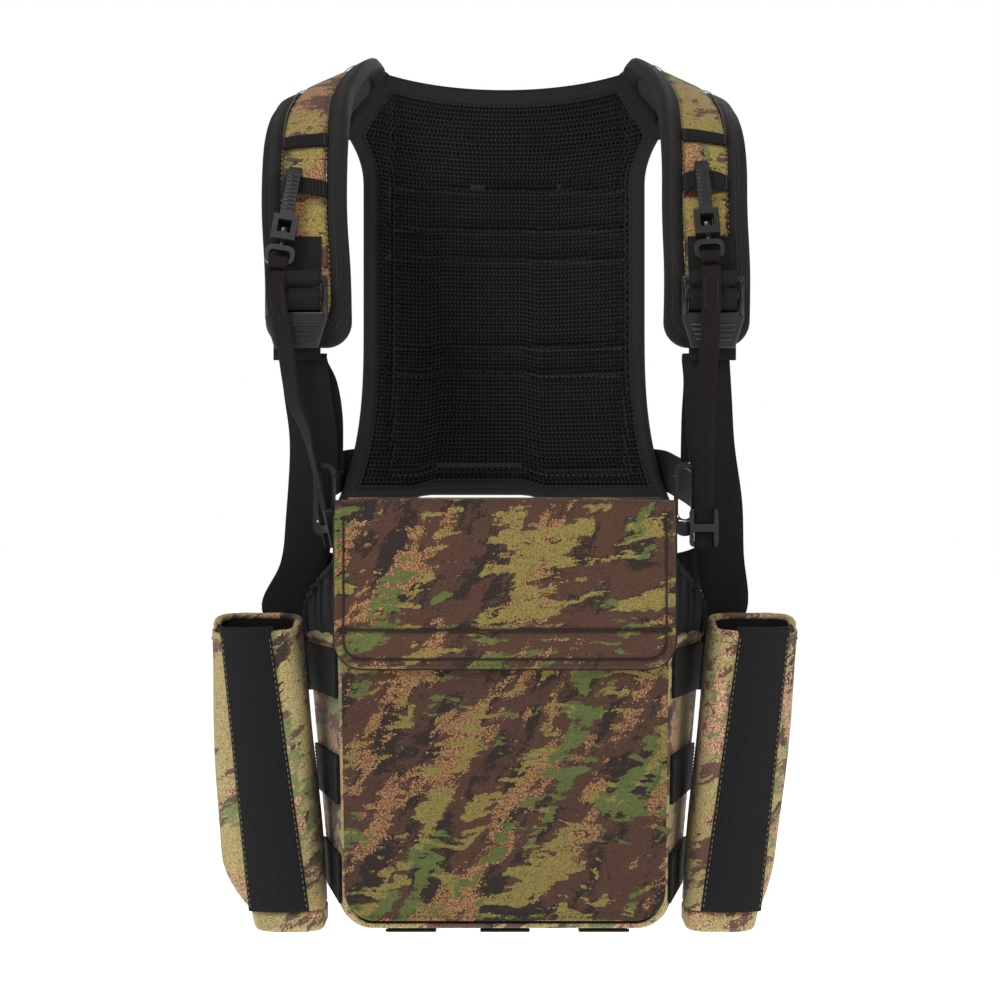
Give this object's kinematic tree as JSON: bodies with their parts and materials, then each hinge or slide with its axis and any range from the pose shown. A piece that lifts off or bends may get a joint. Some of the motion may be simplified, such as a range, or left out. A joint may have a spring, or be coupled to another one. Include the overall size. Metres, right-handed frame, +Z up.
{
  "type": "binocular harness pack",
  "caption": "Chest pouch with fold-over lid on a padded shoulder harness, with two open side pouches, webbing loops and snap-hook tethers.",
  "frame": {"origin": "midway between the two shoulder straps, level with their undersides where they cross the shoulders", "axes": "+Z up; +Y towards the wearer's back, square to the pouch's chest face; +X to the right of someone facing the wearer"},
  "size_m": [0.3006, 0.2934, 0.4831],
  "materials": {
    "camo_fabric": "matt brushed camouflage print",
    "webbing": "woven black webbing",
    "binding": "herringbone tape",
    "spacer_mesh": "open spacer mesh",
    "foam": "closed-cell foam",
    "elastic": "ribbed elastic",
    "tether_webbing": "narrow woven tape",
    "moulded_plastic": "satin moulded plastic",
    "magnet_steel": "plated"
  },
  "bodies": {
    "root": {"back_shell": "camo_fabric", "pouch_front": "camo_fabric", "pouch_gusset": "camo_fabric", "shoulder_pad_left": "camo_fabric", "side_sleeve_left": "camo_fabric", "side_base_left": "camo_fabric", "shoulder_pad_right": "camo_fabric", "side_sleeve_right": "camo_fabric", "side_base_right": "camo_fabric", "pouch_rear": "webbing", "bottom_loop_1": "webbing", "bottom_loop_2": "webbing", "bottom_loop_3": "webbing", "strap_band_upper_left": "webbing", "strap_band_lower_left": "webbing", "anchor_webbing_left": "webbing", "load_webbing_left": "webbing", "torso_strap_left": "webbing", "gusset_band_1_left": "webbing", "gusset_band_2_left": "webbing", "gusset_band_3_left": "webbing", "strap_band_upper_right": "webbing", "strap_band_lower_right": "webbing", "anchor_webbing_right": "webbing", "load_webbing_right": "webbing", "torso_strap_right": "webbing", "gusset_band_1_right": "webbing", "gusset_band_2_right": "webbing", "gusset_band_3_right": "webbing", "back_binding": "binding", "shoulder_binding_left": "binding", "shoulder_binding_right": "binding", "back_mesh": "spacer_mesh", "pouch_lining": "spacer_mesh", "back_foam": "foam", "side_elastic_left": "elastic", "side_elastic_right": "elastic", "tether_left": "tether_webbing", "tether_right": "tether_webbing", "hook_eye_left": "moulded_plastic", "gate_hook_left": "moulded_plastic", "hook_eye_right": "moulded_plastic", "gate_hook_right": "moulded_plastic", "front_magnet": "magnet_steel"},
    "hook_left": {"hook_body_left": "moulded_plastic"},
    "snap_gate_left": {"hook_gate_left": "moulded_plastic"},
    "buckle_left": {"ladderlock_left": "moulded_plastic", "webbing_wrap_left": "webbing"},
    "glide_left": {"triglide_left": "moulded_plastic"},
    "ring_gate_left": {"gate_hook_gate_left": "moulded_plastic"},
    "hook_right": {"hook_body_right": "moulded_plastic"},
    "snap_gate_right": {"hook_gate_right": "moulded_plastic"},
    "buckle_right": {"ladderlock_right": "moulded_plastic", "webbing_wrap_right": "webbing"},
    "glide_right": {"triglide_right": "moulded_plastic"},
    "ring_gate_right": {"gate_hook_gate_right": "moulded_plastic"},
    "lid": {"lid_top": "camo_fabric"},
    "flap": {"lid_flap": "camo_fabric", "flap_magnet": "magnet_steel"}
  },
  "joints": [
    {"name": "lid_hinge", "type": "hinge", "parent": "root", "child": "lid", "pos_m": [0, -0.1055, -0.23025], "axis": [-1, 0, 0], "range_deg": [0, 90]},
    {"name": "flap_fold", "type": "hinge", "parent": "lid", "child": "flap", "pos_m": [0, -0.188, -0.23165], "axis": [-1, 0, 0], "range_deg": [0, 40]},
    {"name": "hook_swivel_left", "type": "hinge", "parent": "root", "child": "hook_left", "pos_m": [-0.11737, -0.1104, -0.08919], "axis": [0.1496, 0.2924, 0.9445], "range_deg": [-8, 8]},
    {"name": "snap_gate_left", "type": "hinge", "parent": "hook_left", "child": "snap_gate_left", "pos_m": [-0.11577, -0.09943, -0.07908], "axis": [0.9877, 0, -0.1564], "range_deg": [0, 9], "stiffness_Nm_per_rad": 0.004, "springref_deg": -20.05},
    {"name": "buckle_tilt_left", "type": "hinge", "parent": "root", "child": "buckle_left", "pos_m": [-0.11, -0.1145, -0.112], "axis": [-1, 0, 0], "range_deg": [0, 14]},
    {"name": "glide_slide_left", "type": "slide", "parent": "root", "child": "glide_left", "axis": [-0.2232, 0, 0.9748], "range_m": [0, 0.025]},
    {"name": "ring_gate_left", "type": "hinge", "parent": "root", "child": "ring_gate_left", "pos_m": [-0.09, -0.121, -0.2364], "axis": [0, -1, 0], "range_deg": [0, 15], "stiffness_Nm_per_rad": 0.004, "springref_deg": -20.05},
    {"name": "hook_swivel_right", "type": "hinge", "parent": "root", "child": "hook_right", "pos_m": [0.10753, -0.10931, -0.08587], "axis": [-0.0667, 0.2924, 0.954], "range_deg": [-8, 8]},
    {"name": "snap_gate_right", "type": "hinge", "parent": "hook_right", "child": "snap_gate_right", "pos_m": [0.10681, -0.09833, -0.07566], "axis": [0.9976, 0, 0.0698], "range_deg": [0, 9], "stiffness_Nm_per_rad": 0.004, "springref_deg": -20.05},
    {"name": "buckle_tilt_right", "type": "hinge", "parent": "root", "child": "buckle_right", "pos_m": [0.11, -0.1145, -0.112], "axis": [-1, 0, 0], "range_deg": [0, 14]},
    {"name": "glide_slide_right", "type": "slide", "parent": "root", "child": "glide_right", "axis": [0, 0, 1], "range_m": [0, 0.025]},
    {"name": "ring_gate_right", "type": "hinge", "parent": "root", "child": "ring_gate_right", "pos_m": [0.09, -0.121, -0.2364], "axis": [0, 1, 0], "range_deg": [0, 15], "stiffness_Nm_per_rad": 0.004, "springref_deg": -20.05}
  ]
}
